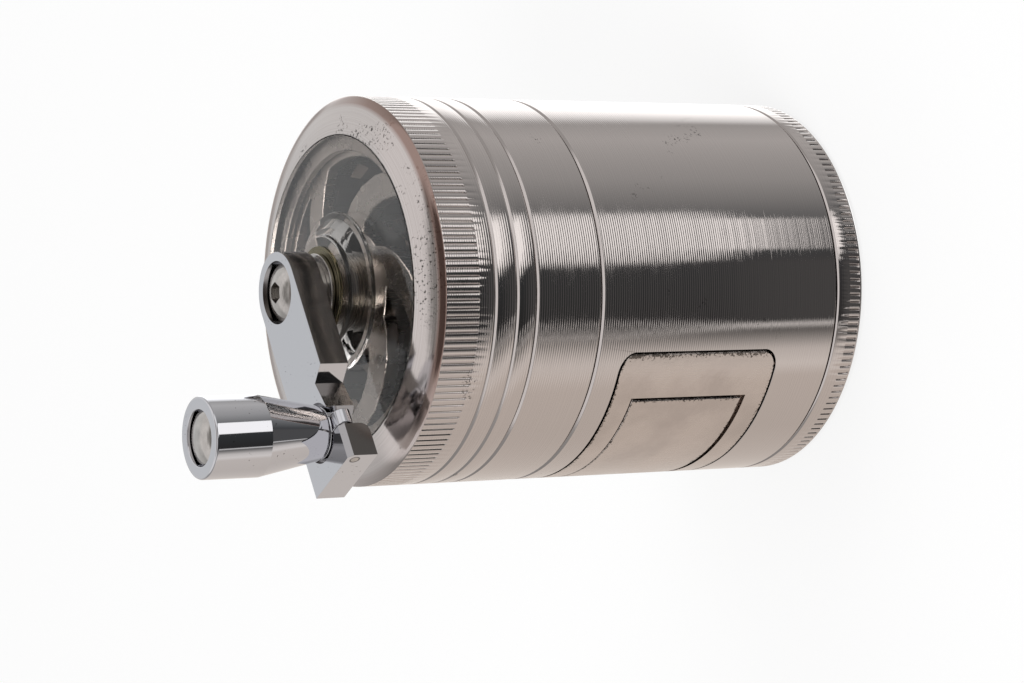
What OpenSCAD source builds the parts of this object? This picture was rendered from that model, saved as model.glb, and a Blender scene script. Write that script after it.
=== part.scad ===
// Hand-crank spice grinder: a turned metal drum with a crank lid, a toothed chamber,
// a curved drawer with a sieve floor and a screwed base cap.
// Millimetres, +Z up. The origin is the centre of the base's underside and the drawer faces -Y.

/* [Drum] */
// Outside diameter of the drum
body_d = 63; // [61:0.5:67]
// Wall of the drum shells
wall = 2.4; // [2.2:0.1:2.7]
// Height of the base cap that shows
base_h = 5.6; // [5.2:0.1:8]
// Height of the drawer housing
housing_h = 45.8; // [41:0.2:56]
// Height of the chamber's outer band
chamber_h = 12.1; // [11:0.1:16]
// Height of the lid
lid_h = 18.6; // [18.2:0.1:21]
// Chamfer on both sides of each seam
seam_chamfer = 0.35; // [0.2:0.05:0.5]
// Gap at each seam
seam_gap = 0.12; // [0.1:0.02:0.2]
// Chamfer round the foot of the base
foot_chamfer = 0.8; // [0.5:0.1:1.2]

/* [Screwed necks] */
// Length of each screwed neck
neck_h = 4.2; // [3.2:0.1:4.3]
// Wall of each neck
neck_wall = 1.9; // [1.5:0.1:2.2]
// Radial gap of a neck in its bore
neck_gap = 0.2; // [0.15:0.05:0.3]

/* [Knurls and grooves] */
// Number of knurl grooves round the lid and the base
knurl_count = 160; // [140:2:180]
// Depth of a knurl groove
knurl_depth = 0.3; // [0.2:0.05:0.4]
// Width of a knurl groove
knurl_w = 0.36; // [0.3:0.02:0.5]
// Height of the lid's knurl above the lid's lower edge
lid_knurl_at = 10.5; // [9.5:0.1:11]
// Height of the lid's knurl
lid_knurl_h = 5.7; // [5:0.1:6]
// Height of the base's knurl above the foot chamfer
base_knurl_h = 2.2; // [1.6:0.1:2.6]
// Height of the lower turned groove above the lid's lower edge
low_groove_at = 3.6; // [2:0.1:4.5]
// Height of the upper turned groove above the lid's lower edge
high_groove_at = 7.5; // [6:0.1:8.5]
// Width of a turned groove
groove_w = 0.8; // [0.5:0.1:1.2]
// Depth of a turned groove
groove_depth = 0.4; // [0.2:0.05:0.5]

/* [Lid and window] */
// Thickness of the lid's rim at the window
rim_t = 1.9; // [1.6:0.1:2.2]
// Slope of the rim towards the outside, in degrees
rim_slope = 17.5; // [12:0.5:20]
// Radius of the crown that ends the rim's slope
crown_r = 7; // [5:0.5:9]
// Radial width of that crown
crown_w = 2.05; // [1.6:0.05:2.4]
// Diameter of the window's face
window_d = 50.4; // [49:0.2:51.6]
// Thickness of the window plate
window_t = 4; // [3.6:0.1:4.4]
// Width of the window's flange under the rim
flange_w = 2.9; // [2.4:0.1:3]
// Gap round the window's face
window_gap = 0.1; // [0.05:0.05:0.2]
// Height of the window's boss above its face
boss_h = 2.9; // [2.2:0.1:3.4]
// Diameter of the boss's flat top
boss_d = 18; // [17:0.2:20]
// Diameter of the boss's foot
boss_foot_d = 25.8; // [24.5:0.2:28]
// Thickness of the ring that holds the window
retainer_t = 1.4; // [1.2:0.1:1.6]
// Reach of that ring inwards under the window's face
retainer_lip = 2.6; // [1.7:0.1:3.2]
// Slip of the lid's skirt over the chamber's neck
skirt_slip = 0.3; // [0.25:0.05:0.4]
// Wall of the lid's skirt
skirt_wall = 2.5; // [2.3:0.1:2.7]

/* [Grinding teeth] */
// Height of the teeth
tooth_h = 8.8; // [7.4:0.1:9]
// Length of a tooth along its ring
tooth_len = 6; // [5:0.1:6.6]
// Radius of the innermost ring of fixed teeth
first_ring_r = 12.5; // [12.2:0.1:12.8]
// Radial gap between one ring of teeth and the next
ring_gap = 0.9; // [0.7:0.1:1.4]
// Gap between the rotor's rim and the chamber's wall
rotor_gap = 2.45; // [1.8:0.05:2.8]
// Clearance over the tips of the teeth
tip_gap = 0.8; // [0.5:0.1:1]
// Number of blades on the rotor
blade_count = 5; // [4:1:6]
// Width of a blade along its ring
blade_w = 7.2; // [5:0.1:8]
// Sweep of a blade, in degrees for each mm of radius
blade_sweep = 4; // [0:0.5:6]
// Direction of the first blade at mid radius
blade_turn = 49.5; // [40:0.5:60]
// Thickness of the rotor's blades
blade_t = 1.8; // [1.5:0.1:2.2]
// Thickness of the chamber's floor
floor_t = 2; // [1.6:0.1:2.6]
// Diameter of a drop hole
drop_d = 4.2; // [3.4:0.1:4.3]

/* [Crank] */
// Turn of the crank from the drawer's direction
crank_turn = 6.5; // [-90:0.5:90]
// Width of the arm
arm_w = 13; // [12.4:0.1:14]
// Thickness of the arm
arm_t = 4.9; // [4.6:0.1:5.6]
// Distance from the crank's axis to the knob's axis
knob_at = 26; // [24.5:0.5:30]
// Length of the arm beyond the knob's axis
arm_beyond = 8; // [7.4:0.1:9]
// Diameter of the counterbore for the screw
counterbore_d = 10.1; // [9.8:0.1:10.6]
// Depth of that counterbore
counterbore_h = 2.2; // [1.9:0.1:2.4]
// Diameter of the spindle
spindle_d = 8; // [7.4:0.1:8.4]
// Running clearance of the spindle in its bush
spindle_gap = 0.05; // [0.03:0.01:0.08]
// Height of the spacer under the arm
spacer_h = 1.7; // [1.4:0.1:3]
// Thickness of the thrust washer
washer_t = 0.7; // [0.5:0.1:1]
// Thickness of the bush's flange
bush_flange_t = 0.6; // [0.5:0.1:0.9]

/* [Knob] */
// Diameter of the knob's cylinder
knob_d = 12.8; // [12:0.1:13.2]
// Diameter of the knob's foot
knob_foot_d = 8.6; // [8.4:0.1:9.4]
// Height of the knob's cone
knob_cone_h = 10.8; // [9:0.1:13]
// Height of the knob's cylinder
knob_cyl_h = 9.4; // [8:0.1:12]
// Diameter of the recess in the knob's end
knob_recess_d = 8.7; // [8.3:0.1:9]
// Depth of that recess
knob_recess_h = 2.1; // [1.9:0.1:2.6]
// Diameter of the knob's axle
axle_d = 3; // [2.6:0.1:3.4]
// Running clearance of the knob on its axle
axle_gap = 0.06; // [0.04:0.01:0.1]
// Diameter of the fold block's flange
block_d = 8.3; // [8:0.1:8.4]
// Depth of the arm's recess for the flange
block_recess_h = 1.4; // [1.2:0.1:1.6]
// Diameter of the fold pin
pin_d = 1.3; // [1.1:0.1:1.5]
// Distance from the knob's axis to the fold pin, across the arm
pin_side = 5.5; // [5.4:0.1:5.7]

/* [Drawer] */
// Width of the drawer's window, measured straight across
drawer_w = 44.5; // [42:0.5:45]
// Height of the window above the housing's lower edge
drawer_at = 10.7; // [10.5:0.1:11]
// Height of the housing above the window
drawer_above = 4.5; // [4.4:0.1:8]
// Corner radius of the drawer's front
drawer_corner = 2.3; // [1.5:0.1:3]
// Gap round the drawer's front
drawer_gap = 0.4; // [0.3:0.05:0.5]
// Wall of the drawer's tray
tray_wall = 1.2; // [1:0.1:1.6]
// Thickness of the tray's floor
tray_floor = 1.8; // [1.6:0.1:2.2]
// Gap between the tray and the housing
tray_gap = 0.4; // [0.3:0.05:0.5]
// Width of the pull plate
plate_w = 30.2; // [26:0.2:32]
// Height of the pull plate above the front's lower edge
plate_at = 4.6; // [4:0.1:5.8]
// Height of the front above the pull plate
plate_above = 3.9; // [3.2:0.1:6]
// Thickness of the pull plate
plate_t = 1.2; // [0.9:0.1:1.4]
// Open groove at both sides of the pull plate
plate_side_gap = 0.5; // [0.3:0.05:0.7]
// Open groove above the pull plate
plate_top_gap = 0.3; // [0.2:0.05:0.5]
// Open groove under the pull plate, for a fingernail
plate_low_gap = 0.7; // [0.5:0.05:0.9]
// Thickness of the deck under the drawer
deck_t = 2; // [1.6:0.1:2.2]
// Diameter of the opening in the deck
deck_hole_d = 35; // [33.5:0.5:37]

/* [Sieve] */
// Diameter of the sieve that is open
sieve_d = 28; // [24:0.5:29]
// Width of the ring that clamps the sieve
sieve_rim = 2.2; // [1.8:0.1:2.6]
// Thickness of the sieve
sieve_t = 0.4; // [0.3:0.05:0.5]
// Pitch of the sieve's mesh, drawn coarser than the real one
mesh_pitch = 2.2; // [2:0.1:3]
// Width of a wire of the mesh
mesh_wire = 0.6; // [0.4:0.05:0.8]

/* [Hidden] */
$fn = 96;
// Overshoot of a cutting body past the face that it cuts
over = 0.5;
// Gap of pieces that seat on each other by a curved face
seat = 0.02;

// Radii of the drum, from the outside in
body_r = body_d / 2;
bore_r = body_r - wall;
neck_r = bore_r - neck_gap;
neck_in_r = neck_r - neck_wall;
skirt_r = body_r - skirt_wall;
upper_neck_r = skirt_r - skirt_slip;
upper_neck_wall = 1.8;
upper_neck_in_r = upper_neck_r - upper_neck_wall;

// Heights of the seams, from the table up
base_top = base_h;
housing_top = base_top + housing_h;
chamber_top = housing_top + chamber_h;
lid_top = chamber_top + lid_h;

// Base cap
cap_floor = 1.8;

// Window and what holds it, from the rim down
flange_r = window_d / 2 + flange_w;
window_low = lid_top - window_t;
retainer_low = window_low - retainer_t;
retainer_r = window_d / 2 - retainer_lip;

// Rim of the lid: a shallow cone that ends in a crown, an arc down to the drum's wall
rim_in_edge = window_d / 2 + window_gap;
crown_from = body_r - crown_w;
crown_centre = [
    crown_from - crown_r * sin(rim_slope),
    lid_top - (crown_from - rim_in_edge) * tan(rim_slope) - crown_r * cos(rim_slope)
];
crown_end = acos((body_r - crown_centre[0]) / crown_r);

// Stack of bearings on the window, from the boss up
boss_top = lid_top + boss_h;
bush_top = boss_top + bush_flange_t;
stack_gap = 0.1;
stack_low = bush_top + stack_gap;
washer_top = stack_low + washer_t;
arm_low = washer_top + spacer_h;
arm_top = arm_low + arm_t;
spindle_r = spindle_d / 2;
bush_wall = 1.2;
bush_r = spindle_r + bush_wall;
bush_flange_r = 7.4;
washer_r = 6.2;
spacer_r = 4.9;
counterbore_floor = arm_top - counterbore_h;
screw_draw = 0.3;
spindle_top = counterbore_floor - screw_draw;

// Share of a shaft's diameter that is left across its flats, and the slack of its square hole
flat_share = 0.78;
drive_flat = spindle_d * flat_share;
drive_fit = 0.05;

// Collar of the spindle under the window, and the rotor hung on it
collar_r = 6;
collar_t = 1.5;
collar_gap = 0.2;
collar_top = window_low - collar_gap;
rotor_top = collar_top - collar_t;
rotor_low = rotor_top - blade_t;
hub_r = 9.6;
hub_h = 4.6;
hub_low = rotor_top - hub_h;
pocket_r = 8.4;
pocket_h = 2.6;
pocket_top = hub_low + pocket_h;
spigot_r = 3.4;
spigot_flat = 2 * spigot_r * flat_share;

// Rings of teeth: the first and third stand on the chamber's floor, the others hang from the rotor.
// From the first ring's middle to the rotor's rim lie the steps of a tooth and a gap, and half a tooth.
ring_n = [6, blade_count, 12, 2 * blade_count];
last_ring = len(ring_n) - 1;
rim_margin = 0.15;
rim_out_r = upper_neck_in_r - rotor_gap;
ring_step = (rim_out_r - rim_margin - first_ring_r + ring_gap / 2) / (last_ring + 1 / 2);
tooth_w = ring_step - ring_gap;
ring_r = [for (i = [0:last_ring]) first_ring_r + i * ring_step];
rim_in_r = ring_r[last_ring] - tooth_w / 2 - rim_margin;
floor_top = rotor_low - tooth_h - tip_gap;
neck_rise = 0.5;
neck_top = rotor_low + neck_rise;
lid_rest_gap = 0.1;
glide_t = retainer_low - neck_top - lid_rest_gap;
drop_count = 12;
inner_drop_count = 6;
post_r = 6.5;
post_h = 3;
post_top = floor_top + post_h;
magnet_r = 5;
magnet_t = 2.4;
ring_magnet_in_r = 5.6;

// Screws: the crank's, then the rotor's with its washer
thread_m5 = 2.5;
thread_m5_h = 7;
head_m5_r = 4.6;
head_m5_crown = 1.5;
head_m5_proud = 0.45;
socket_m5_d = 3.5;
socket_m5_h = 1.7;
thread_m4 = 2;
head_m4_r = 3.9;
head_m4_h = 2.4;
socket_m4_d = 2.9;
socket_m4_h = 1.3;
rotor_washer_r = 5;
rotor_washer_t = 0.8;

// Arm, along -Y, measured from the knob's axis
relief_from = knob_at - 8.7;
relief_in = knob_at - 7.1;
relief_to = knob_at - 2.3;
slot_from = knob_at - 0.7;
ear_from = knob_at + 2.3;
arm_end = knob_at + arm_beyond;
relief_near = 3.2;
relief_far = 4.4;
slot_side = 2.4;
ear_side = arm_w / 2 + 0.4;
ear_bevel = 0.8;
ear_corner = 1.5;
recess_slack = 0.6;
recess_r = block_d / 2 + recess_slack;
recess_floor = arm_top - block_recess_h;
boss_wall = 0.8;
boss_r = axle_d / 2 + boss_wall;
boss_depth = 2.3;
pin_r = pin_d / 2;
pin_drop = 0.1;
pin_z = recess_floor - pin_drop;
eye_wall = 0.75;
tongue_gap = 0.3;

// Knob and the block that it stands on
knob_gap = 0.2;
block_proud = 0.05;
block_top = arm_top + block_proud;
block_gap = 0.1;
block_low = recess_floor + block_gap;
knob_low = block_top + knob_gap;
knob_waist = knob_low + knob_cone_h;
knob_top = knob_waist + knob_cyl_h;
knob_edge = 0.35;
axle_head_gap = 0.35;
axle_head_r = knob_recess_d / 2 - axle_head_gap;
axle_crown = 0.9;
axle_floor = knob_top - knob_recess_h;
axle_head_low = axle_floor + block_gap;
axle_head_proud = 0.3;
axle_head_top = knob_top + axle_head_proud;

// Drawer: its window, its front and its tray
window_z = base_top + drawer_at;
drawer_h = housing_h - drawer_at - drawer_above;
front_w = drawer_w - 2 * drawer_gap;
front_z = window_z + drawer_gap;
front_h = drawer_h - 2 * drawer_gap;
front_top = front_z + front_h;
tray_inset = 1.3;
tray_half = front_w / 2 - tray_inset;
tray_drop = 0.1;
tray_low = front_z - tray_drop;
tray_lip = 1;
tray_top = front_top - tray_lip;
tray_back_r = bore_r - tray_gap;
tray_inner_floor = tray_low + tray_floor;
front_lining = 0.6;
deck_step = 0.05;
deck_top = window_z - deck_step;
plate_low = front_z + plate_at;
plate_h = front_h - plate_at - plate_above;
pocket_side = plate_w / 2 + plate_side_gap;

// A point at radius r and angle a
function polar(r, a) = [r * cos(a), r * sin(a)];

// Points of an arc round c, from angle a to angle b in n steps
function arc(c, r, a, b, n) = [for (i = [0:n]) c + polar(r, a + (b - a) * i / n)];

// Direction of the first blade's middle line at radius r
function blade_angle(r) = blade_turn - blade_sweep * (r - (hub_r + rim_in_r) / 2);

// Turned ring between two radii and two heights
module ring(outer, inner, low, high) {
    translate([0, 0, low]) difference() {
        cylinder(r = outer, h = high - low);
        translate([0, 0, -over]) cylinder(r = inner, h = high - low + 2 * over);
    }
}

// Disc from one height to another
module disc(r, low, high) {
    translate([0, 0, low]) cylinder(r = r, h = high - low);
}

// Solid of revolution with an outline of [radius, height] points
module turned(points) {
    rotate_extrude() polygon(points);
}

// Rectangle centred on X, standing on Y = 0, with rounded corners of true arcs
module rounded_face(w, h, r) {
    translate([-w / 2 + r, 0]) square([w - 2 * r, h]);
    translate([-w / 2, r]) square([w, h - 2 * r]);
    for (x = [-w / 2 + r, w / 2 - r], y = [r, h - r]) translate([x, y]) circle(r);
}

// Its outline run along Y, from the drum's front to its middle
module front_run(low) {
    translate([0, 0, low]) rotate([90, 0, 0]) linear_extrude(body_r + over) children();
}

// Axial grooves round a cylinder of radius r
module knurl_cuts(r, low, high) {
    for (i = [0:knurl_count - 1]) rotate(i * 360 / knurl_count)
        translate([r - knurl_depth, -knurl_w / 2, low]) cube([knurl_depth + over, knurl_w, high - low]);
}

// Diamond-shaped teeth on a ring of radius r
module teeth(r, count, start, low, high) {
    tip = asin(tooth_len / 2 / r);
    translate([0, 0, low]) linear_extrude(high - low)
        for (i = [0:count - 1]) rotate(start + i * 360 / count)
            polygon([polar(r, tip), polar(r + tooth_w / 2, 0), polar(r, -tip), polar(r - tooth_w / 2, 0)]);
}

// Round bar with two pairs of flats
module squared_bar(r, flat, low, high) {
    intersection() {
        disc(r, low, high);
        translate([-flat / 2, -flat / 2, low]) cube([flat, flat, high - low]);
    }
}

// Domed screw head of radius r, low at its seat, high at its crown
module domed_head(r, low, high, crown) {
    dome_r = (r * r + crown * crown) / (2 * crown);
    intersection() {
        disc(r, low, high);
        translate([0, 0, high - dome_r]) sphere(r = dome_r);
    }
}

module base_cap() color([0.66, 0.64, 0.62]) difference() {
    turned([
        [0, 0], [body_r - foot_chamfer, 0], [body_r, foot_chamfer],
        [body_r, base_top - seam_chamfer - seam_gap], [body_r - seam_chamfer, base_top - seam_gap],
        [neck_r, base_top - seam_gap], [neck_r, base_top + neck_h],
        [neck_in_r, base_top + neck_h], [neck_in_r, cap_floor], [0, cap_floor]
    ]);
    knurl_cuts(body_r, foot_chamfer, foot_chamfer + base_knurl_h);
}

module drawer_housing() color([0.68, 0.66, 0.64]) difference() {
    turned([
        [bore_r, base_top], [body_r - seam_chamfer, base_top], [body_r, base_top + seam_chamfer],
        [body_r, housing_top - seam_chamfer], [body_r - seam_chamfer, housing_top],
        [bore_r, housing_top], [bore_r, deck_top], [deck_hole_d / 2, deck_top],
        [deck_hole_d / 2, deck_top - deck_t], [bore_r, deck_top - deck_t]
    ]);
    front_run(window_z) rounded_face(drawer_w, drawer_h, drawer_corner + drawer_gap);
}

// Plan of the tray: straight sides, a round back and a front that runs into the curved panel
module tray_plan(half, back_r, front_r) {
    intersection() {
        translate([-half, -back_r - over]) square([2 * half, 2 * (back_r + over)]);
        circle(back_r);
    }
    intersection() {
        translate([-half, -front_r - over]) square([2 * half, front_r + over]);
        circle(front_r);
    }
}

module drawer_tray() color([0.7, 0.67, 0.64]) difference() {
    union() {
        intersection() {
            ring(body_r, bore_r, front_z, front_top);
            front_run(front_z) rounded_face(front_w, front_h, drawer_corner);
        }
        translate([0, 0, tray_low]) linear_extrude(tray_top - tray_low)
            tray_plan(tray_half, tray_back_r, bore_r + wall / 2);
    }
    translate([0, 0, tray_inner_floor]) linear_extrude(tray_top - tray_inner_floor + over)
        tray_plan(tray_half - tray_wall, tray_back_r - tray_wall, bore_r - front_lining);
    disc(sieve_d / 2, tray_low - over, tray_inner_floor + over);
    disc(sieve_d / 2 + sieve_rim, tray_low + tray_floor / 3, tray_inner_floor + over);
    intersection() {
        ring(body_r + over, body_r - plate_t - seat, 0, housing_top);
        front_run(plate_low - plate_low_gap) translate([-pocket_side, 0])
            square([2 * pocket_side, plate_h + plate_low_gap + plate_top_gap]);
    }
}

module drawer_pull_plate() color([0.68, 0.65, 0.62]) intersection() {
    ring(body_r, body_r - plate_t, 0, housing_top);
    front_run(plate_low) translate([-plate_w / 2, 0]) square([plate_w, plate_h]);
}

// The mesh: a disc with square holes on a grid, closed at its rim
module sieve_screen() color([0.75, 0.75, 0.74])
    translate([0, 0, tray_low + tray_floor / 3]) linear_extrude(sieve_t) difference() {
        circle(sieve_d / 2 + sieve_rim - seat);
        reach = floor((sieve_d / 2 - mesh_pitch) / mesh_pitch) * mesh_pitch;
        hole = mesh_pitch - mesh_wire;
        for (x = [-reach:mesh_pitch:reach], y = [-reach:mesh_pitch:reach])
            if (norm([x, y]) + hole < sieve_d / 2)
                translate([x - hole / 2, y - hole / 2]) square(hole);
    }

module sieve_frame() color([0.62, 0.62, 0.6])
    ring(sieve_d / 2 + sieve_rim - seat, sieve_d / 2, tray_low + tray_floor / 3 + sieve_t, tray_inner_floor);

module grinding_chamber() color([0.67, 0.65, 0.63]) difference() {
    union() {
        turned([
            [neck_in_r, housing_top - neck_h], [neck_r, housing_top - neck_h],
            [neck_r, housing_top + seam_gap], [body_r - seam_chamfer, housing_top + seam_gap],
            [body_r, housing_top + seam_chamfer + seam_gap], [body_r, chamber_top - seam_chamfer],
            [body_r - seam_chamfer, chamber_top], [upper_neck_r, chamber_top],
            [upper_neck_r, neck_top], [upper_neck_in_r, neck_top], [upper_neck_in_r, floor_top],
            [0, floor_top], [0, floor_top - floor_t], [neck_in_r, floor_top - floor_t]
        ]);
        disc(post_r, floor_top - over, post_top);
        for (i = [0, 2])
            teeth(ring_r[i], ring_n[i], 180 / ring_n[i] * (i / 2), floor_top - over, rotor_low - tip_gap);
    }
    disc(magnet_r + seat, post_top - magnet_t, post_top + over);
    for (i = [0:drop_count - 1]) rotate((i + 0.5) * 360 / drop_count)
        translate([ring_r[1], 0, 0]) disc(drop_d / 2, floor_top - floor_t - over, floor_top + over);
    for (i = [0:inner_drop_count - 1]) rotate((i + 0.5) * 360 / inner_drop_count)
        translate([post_r + drop_d / 2 + over / 2, 0, 0])
            disc(drop_d / 2, floor_top - floor_t - over, floor_top + over);
}

module chamber_magnet() color([0.55, 0.55, 0.56]) disc(magnet_r, post_top - magnet_t, post_top);

module glide_ring() color([0.93, 0.93, 0.9])
    ring(upper_neck_r, upper_neck_in_r, neck_top, neck_top + glide_t);

module lid_ring() color([0.67, 0.65, 0.63]) difference() {
    low = chamber_top + seam_gap;
    groove = groove_w / 2;
    low_z = chamber_top + low_groove_at;
    high_z = chamber_top + high_groove_at;
    turned(concat(
        [[skirt_r, low], [body_r - seam_chamfer, low], [body_r, low + seam_chamfer],
         [body_r, low_z - groove], [body_r - groove_depth, low_z], [body_r, low_z + groove],
         [body_r, high_z - groove], [body_r - groove_depth, high_z], [body_r, high_z + groove]],
        arc(crown_centre, crown_r, crown_end, 90 - rim_slope, 6),
        [[rim_in_edge, lid_top], [rim_in_edge, lid_top - rim_t],
         [flange_r + window_gap, lid_top - rim_t], [flange_r + window_gap, retainer_low],
         [skirt_r, retainer_low]]
    ));
    knurl_cuts(body_r, chamber_top + lid_knurl_at, chamber_top + lid_knurl_at + lid_knurl_h);
}

module lid_window() color([0.85, 0.87, 0.88, 0.4]) difference() {
    foot = boss_foot_d / 2;
    flat = boss_d / 2;
    round_r = 0.5;
    slope_in = 1.1;
    slope_low = 0.65;
    slope_out = 1.3;
    slope_high = boss_h * 0.55;
    turned(concat(
        [[0, window_low], [flange_r, window_low], [flange_r, lid_top - rim_t - seat],
         [window_d / 2, lid_top - rim_t - seat], [window_d / 2, lid_top]],
        arc([foot - round_r, lid_top], round_r, 0, 90, 4),
        [[foot - slope_in, lid_top + slope_low], [flat + slope_out, lid_top + slope_high]],
        arc([flat - round_r, boss_top - round_r], round_r, 0, 90, 4),
        [[0, boss_top]]
    ));
    disc(bush_r + seat, window_low - over, boss_top + over);
}

module window_retainer() color([0.45, 0.45, 0.46]) ring(flange_r, retainer_r, retainer_low, window_low);

module window_bush() color([0.62, 0.55, 0.33]) difference() {
    union() {
        disc(bush_r, window_low, boss_top);
        disc(bush_flange_r, boss_top, bush_top);
    }
    disc(spindle_r + spindle_gap, window_low - over, bush_top + over);
}

module thrust_washer() color([0.75, 0.74, 0.73])
    ring(washer_r, spindle_r + spindle_gap, stack_low, washer_top);

module hub_spacer() color([0.8, 0.79, 0.78])
    ring(spacer_r, spindle_r + spindle_gap, washer_top, arm_low);

module crank_spindle() color([0.7, 0.7, 0.7]) difference() {
    union() {
        disc(spindle_r, collar_top - over, arm_low);
        disc(collar_r, rotor_top, collar_top);
        rotate(crank_turn) squared_bar(spindle_r, drive_flat, arm_low - over, spindle_top);
        squared_bar(spigot_r, spigot_flat, pocket_top, rotor_top + over);
    }
    disc(thread_m5 + seat, lid_top, spindle_top + over);
    disc(thread_m4 + seat, pocket_top - over, rotor_top + over);
}

// Outline of the arm, along -Y, with the relief, the slot and the ear on its +X side
module arm_plan() {
    side = arm_w / 2;
    circle(side);
    polygon([
        [-side, 0], [-side, -arm_end], [ear_side, -arm_end], [ear_side, -ear_from],
        [slot_side, -ear_from], [slot_side, -slot_from], [relief_far, -relief_to],
        [relief_near, -relief_in], [side, -relief_from], [side, 0]
    ]);
}

module crank_arm() color([0.78, 0.78, 0.8]) rotate(crank_turn) difference() {
    translate([0, 0, arm_low]) linear_extrude(arm_t) arm_plan();
    disc(counterbore_d / 2, counterbore_floor, arm_top + over);
    disc(thread_m5 + drive_fit, arm_low, arm_top);
    squared_bar(spindle_r + drive_fit, drive_flat + 2 * drive_fit, arm_low - over, spindle_top + drive_fit);
    translate([0, -knob_at, 0]) {
        disc(recess_r, recess_floor, arm_top + over);
        disc(boss_r + recess_slack, recess_floor - boss_depth - tongue_gap, arm_top);
    }
    // Bevel along the ear's top edge and rounding of its inner lower corner
    translate([ear_side, -arm_end - over, arm_top - ear_bevel]) rotate([0, -45, 0])
        cube([2 * ear_bevel, arm_beyond, 2 * ear_bevel]);
    translate([slot_side, -ear_from, arm_low]) rotate([0, 90, 0]) rotate([0, 0, 90])
        linear_extrude(ear_side) difference() {
            translate([-ear_corner, -over]) square([ear_corner + over, ear_corner + over]);
            translate([-ear_corner, ear_corner]) circle(ear_corner);
        }
    translate([pin_side, -ear_from + over, pin_z]) rotate([90, 0, 0])
        cylinder(r = pin_r + seat, h = arm_beyond);
}

module fold_pin() color([0.8, 0.8, 0.8]) rotate(crank_turn)
    translate([pin_side, -slot_from - tongue_gap, pin_z]) rotate([90, 0, 0])
        cylinder(r = pin_r, h = arm_end - slot_from - tongue_gap);

module crank_screw() color([0.74, 0.72, 0.7]) rotate(crank_turn) difference() {
    union() {
        domed_head(head_m5_r, counterbore_floor, arm_top + head_m5_proud, head_m5_crown);
        disc(thread_m5, counterbore_floor - thread_m5_h, counterbore_floor + over);
    }
    translate([0, 0, arm_top + head_m5_proud - socket_m5_h])
        cylinder(d = socket_m5_d, h = socket_m5_h + over, $fn = 6);
}

// Plan of one swept blade, by its two edges
module blade_plan() {
    radii = [for (i = [0:5]) hub_r - over + (rim_in_r - hub_r + 2 * over) * i / 5];
    function edge(r, side) = polar(r, blade_angle(r) + side * asin(blade_w / 2 / r));
    polygon(concat([for (r = radii) edge(r, 1)], [for (i = [5:-1:0]) edge(radii[i], -1)]));
}

module rotor() color([0.72, 0.71, 0.7]) difference() {
    union() {
        disc(hub_r, hub_low, rotor_top);
        ring(rim_out_r, rim_in_r, rotor_low, rotor_top);
        translate([0, 0, rotor_low]) linear_extrude(blade_t)
            for (i = [0:blade_count - 1]) rotate(i * 360 / blade_count) blade_plan();
        for (i = [1, 3])
            teeth(ring_r[i], ring_n[i], blade_angle(ring_r[i]), floor_top + tip_gap, rotor_low + over);
    }
    disc(pocket_r, hub_low - over, pocket_top);
    translate([-spigot_flat / 2 - drive_fit, -spigot_flat / 2 - drive_fit, pocket_top - over])
        cube([spigot_flat + 2 * drive_fit, spigot_flat + 2 * drive_fit, rotor_top - pocket_top + 2 * over]);
}

module rotor_magnet() color([0.55, 0.55, 0.56])
    ring(pocket_r - seat, ring_magnet_in_r, pocket_top - magnet_t, pocket_top);

module rotor_washer() color([0.75, 0.74, 0.73])
    ring(rotor_washer_r, thread_m4 + seat, pocket_top - rotor_washer_t, pocket_top);

module rotor_screw() color([0.74, 0.72, 0.7]) difference() {
    seat_z = pocket_top - rotor_washer_t;
    union() {
        disc(head_m4_r, seat_z - head_m4_h, seat_z);
        disc(thread_m4, seat_z - over, rotor_top);
    }
    translate([0, 0, seat_z - head_m4_h - over]) cylinder(d = socket_m4_d, h = socket_m4_h + over, $fn = 6);
}

// Block that carries the knob's axle: a flange in the arm's recess, a boss and a tongue with an eye
module fold_block() color([0.82, 0.8, 0.78]) rotate(crank_turn) {
    eye_r = pin_r + eye_wall;
    tongue_w = ear_from - slot_from - 2 * tongue_gap;
    tongue_in = slot_side + recess_slack;
    difference() {
        union() {
            translate([0, -knob_at, 0]) {
                disc(block_d / 2, block_low, block_top);
                disc(boss_r, recess_floor - boss_depth, block_low + over);
            }
            translate([0, -slot_from - tongue_gap, 0]) rotate([90, 0, 0]) linear_extrude(tongue_w) {
                translate([pin_side, pin_z]) circle(eye_r);
                translate([tongue_in, pin_z - eye_r]) square([pin_side - tongue_in, 2 * eye_r]);
            }
        }
        translate([0, -knob_at, 0])
            disc(axle_d / 2 + seat, recess_floor - boss_depth - over, block_top + over);
        translate([pin_side, 0, pin_z]) rotate([90, 0, 0]) cylinder(r = pin_r + axle_gap, h = arm_end);
    }
}

module knob_axle() color([0.76, 0.76, 0.77]) rotate(crank_turn) translate([0, -knob_at, 0]) {
    domed_head(axle_head_r, axle_head_low, axle_head_top, axle_crown);
    disc(axle_d / 2, recess_floor - boss_depth, axle_head_low + over);
}

module knob() color([0.75, 0.75, 0.77]) rotate(crank_turn) translate([0, -knob_at, 0]) difference() {
    outer = knob_d / 2;
    foot = knob_foot_d / 2;
    turned(concat(
        [[0, knob_low], [foot - knob_edge, knob_low], [foot, knob_low + knob_edge], [outer, knob_waist]],
        arc([outer - knob_edge, knob_top - knob_edge], knob_edge, 0, 90, 4),
        [[0, knob_top]]
    ));
    disc(axle_d / 2 + axle_gap, knob_low - over, knob_top);
    disc(knob_recess_d / 2, axle_floor, knob_top + over);
}

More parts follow.
